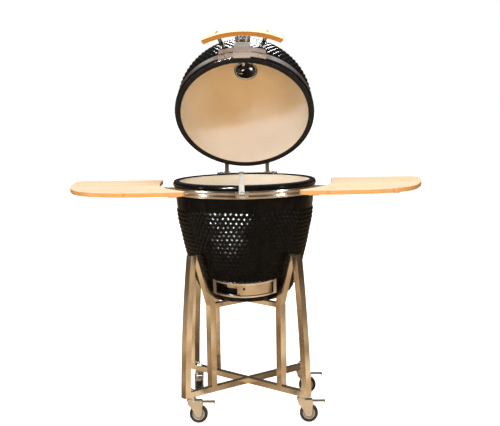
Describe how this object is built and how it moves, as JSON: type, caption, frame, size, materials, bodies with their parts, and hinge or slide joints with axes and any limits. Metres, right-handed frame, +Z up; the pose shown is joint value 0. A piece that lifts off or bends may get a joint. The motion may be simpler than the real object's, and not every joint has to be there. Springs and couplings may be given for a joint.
{
  "type": "kamado ceramic grill",
  "caption": "Ceramic egg-shaped charcoal grill with hinged domed lid, folding bamboo side shelves, draft door and steel cart on braked casters.",
  "frame": {"origin": "on the floor under the centre of the stand", "axes": "+Z up, -Y is the front with the latch and draft door, +X is the viewer's right when facing the front"},
  "size_m": [1.3212, 0.6934, 1.4132],
  "materials": {
    "polished_steel": "polished stainless tube",
    "bright_steel": "bright plated steel",
    "glazed_black": "black gloss glaze",
    "silicone_pad": "heat-proof rubber",
    "felt": "dark heat felt",
    "band_steel": "brushed stainless strip",
    "fire_clay": "unglazed cream ceramic",
    "cast_black": "black coated cast iron",
    "bamboo": "laminated bamboo, oiled",
    "dial_face": "white printed dial",
    "dial_glass": "clear glass",
    "zinc_steel": "zinc plated pressing",
    "caster_tyre": "black rubber tread on grey core"
  },
  "bodies": {
    "cart_and_bowl": {"lower_cross": "polished_steel", "upper_cross": "polished_steel", "leg_front_left": "polished_steel", "leg_front_right": "polished_steel", "leg_rear_left": "polished_steel", "leg_rear_right": "polished_steel", "caster_stems": "bright_steel", "base_bowl": "glazed_black", "bowl_rest_pads": "silicone_pad", "base_gasket": "felt", "base_band": "band_steel", "firebox": "fire_clay", "fire_ring": "fire_clay", "charcoal_grate": "cast_black", "draft_frame": "band_steel", "base_bolts": "bright_steel", "latch_bracket": "band_steel", "latch_pin": "bright_steel", "hinge_bracket": "band_steel", "hinge_pin": "bright_steel", "hinge_springs": "bright_steel", "shelf_bracket_left": "band_steel", "shelf_bracket_right": "band_steel"},
    "lid": {"dome": "glazed_black", "dome_gasket": "felt", "dome_band": "band_steel", "hinge_arms": "band_steel", "latch_catch": "band_steel", "handle_posts": "bright_steel", "handle": "bamboo", "lid_bolts": "bright_steel", "thermometer_bezel": "bright_steel", "thermometer_dial": "dial_face", "thermometer_stem": "bright_steel", "thermometer_lens": "dial_glass", "vent_collar": "band_steel"},
    "damper": {"vent_damper": "cast_black"},
    "daisy_wheel": {"vent_wheel": "cast_black"},
    "grid": {"cooking_grid": "bright_steel"},
    "door": {"draft_door": "band_steel"},
    "screen": {"draft_screen": "band_steel"},
    "latch": {"latch_lever": "band_steel"},
    "left_shelf": {"shelf_left": "bamboo", "shelf_arms_left": "band_steel"},
    "right_shelf": {"shelf_right": "bamboo", "shelf_arms_right": "band_steel"},
    "caster_front_left": {"caster_fork_front_left": "zinc_steel"},
    "wheel_front_left": {"caster_wheel_front_left": "caster_tyre"},
    "pedal_front_left": {"brake_pedal_front_left": "zinc_steel"},
    "caster_front_right": {"caster_fork_front_right": "zinc_steel"},
    "wheel_front_right": {"caster_wheel_front_right": "caster_tyre"},
    "pedal_front_right": {"brake_pedal_front_right": "zinc_steel"},
    "caster_rear_left": {"caster_fork_rear_left": "zinc_steel"},
    "wheel_rear_left": {"caster_wheel_rear_left": "caster_tyre"},
    "pedal_rear_left": {"brake_pedal_rear_left": "zinc_steel"},
    "caster_rear_right": {"caster_fork_rear_right": "zinc_steel"},
    "wheel_rear_right": {"caster_wheel_rear_right": "caster_tyre"},
    "pedal_rear_right": {"brake_pedal_rear_right": "zinc_steel"}
  },
  "joints": [
    {"name": "lid_hinge", "type": "hinge", "parent": "cart_and_bowl", "child": "lid", "pos_m": [0, 0.292, 0.854], "axis": [-1, 0, 0], "range_deg": [-53, 0], "stiffness_Nm_per_rad": 30, "springref_deg": 35.52},
    {"name": "damper_swivel", "type": "hinge", "parent": "lid", "child": "damper", "pos_m": [0.068, 0.36496, 1.27461], "axis": [0, 0.7986, 0.6018], "range_deg": [0, 95]},
    {"name": "daisy_turn", "type": "hinge", "parent": "damper", "child": "daisy_wheel", "pos_m": [0, 0.36896, 1.27762], "axis": [0, 0.7986, 0.6018], "range_deg": [-18, 18]},
    {"name": "grid_lift", "type": "slide", "parent": "cart_and_bowl", "child": "grid", "axis": [0, 0, 1], "range_m": [0, 0.075]},
    {"name": "door_slide", "type": "hinge", "parent": "cart_and_bowl", "child": "door", "pos_m": [0, -0.01158, 0.54217], "axis": [0, -0.342, 0.9397], "range_deg": [-21.6, 0.6]},
    {"name": "screen_slide", "type": "hinge", "parent": "cart_and_bowl", "child": "screen", "pos_m": [0, -0.01158, 0.54217], "axis": [0, -0.342, 0.9397], "range_deg": [-19, 3]},
    {"name": "latch_swing", "type": "hinge", "parent": "cart_and_bowl", "child": "latch", "pos_m": [0, -0.27, 0.826], "axis": [1, 0, 0], "range_deg": [0, 95]},
    {"name": "left_shelf_fold", "type": "hinge", "parent": "cart_and_bowl", "child": "left_shelf", "pos_m": [-0.296, 0, 0.815], "axis": [0, -1, 0], "range_deg": [0, 88]},
    {"name": "right_shelf_fold", "type": "hinge", "parent": "cart_and_bowl", "child": "right_shelf", "pos_m": [0.296, 0, 0.815], "axis": [0, 1, 0], "range_deg": [0, 88]},
    {"name": "swivel_front_left", "type": "hinge", "parent": "cart_and_bowl", "child": "caster_front_left", "pos_m": [-0.19799, -0.19799, 0.085], "axis": [0, 0, 1], "continuous": true},
    {"name": "roll_front_left", "type": "hinge", "parent": "caster_front_left", "child": "wheel_front_left", "pos_m": [-0.17299, -0.19799, 0.033], "axis": [0, 1, 0], "continuous": true},
    {"name": "brake_front_left", "type": "hinge", "parent": "caster_front_left", "child": "pedal_front_left", "pos_m": [-0.16399, -0.19799, 0.073], "axis": [0, 1, 0], "range_deg": [0, 14]},
    {"name": "swivel_front_right", "type": "hinge", "parent": "cart_and_bowl", "child": "caster_front_right", "pos_m": [0.19799, -0.19799, 0.085], "axis": [0, 0, 1], "continuous": true},
    {"name": "roll_front_right", "type": "hinge", "parent": "caster_front_right", "child": "wheel_front_right", "pos_m": [0.22299, -0.19799, 0.033], "axis": [0, 1, 0], "continuous": true},
    {"name": "brake_front_right", "type": "hinge", "parent": "caster_front_right", "child": "pedal_front_right", "pos_m": [0.23199, -0.19799, 0.073], "axis": [0, 1, 0], "range_deg": [0, 14]},
    {"name": "swivel_rear_left", "type": "hinge", "parent": "cart_and_bowl", "child": "caster_rear_left", "pos_m": [-0.19799, 0.19799, 0.085], "axis": [0, 0, 1], "continuous": true},
    {"name": "roll_rear_left", "type": "hinge", "parent": "caster_rear_left", "child": "wheel_rear_left", "pos_m": [-0.19799, 0.17299, 0.033], "axis": [1, 0, 0], "continuous": true},
    {"name": "brake_rear_left", "type": "hinge", "parent": "caster_rear_left", "child": "pedal_rear_left", "pos_m": [-0.19799, 0.16399, 0.073], "axis": [1, 0, 0], "range_deg": [0, 14]},
    {"name": "swivel_rear_right", "type": "hinge", "parent": "cart_and_bowl", "child": "caster_rear_right", "pos_m": [0.19799, 0.19799, 0.085], "axis": [0, 0, 1], "continuous": true},
    {"name": "roll_rear_right", "type": "hinge", "parent": "caster_rear_right", "child": "wheel_rear_right", "pos_m": [0.22299, 0.19799, 0.033], "axis": [0, 1, 0], "continuous": true},
    {"name": "brake_rear_right", "type": "hinge", "parent": "caster_rear_right", "child": "pedal_rear_right", "pos_m": [0.23199, 0.19799, 0.073], "axis": [0, 1, 0], "range_deg": [0, 14]}
  ]
}
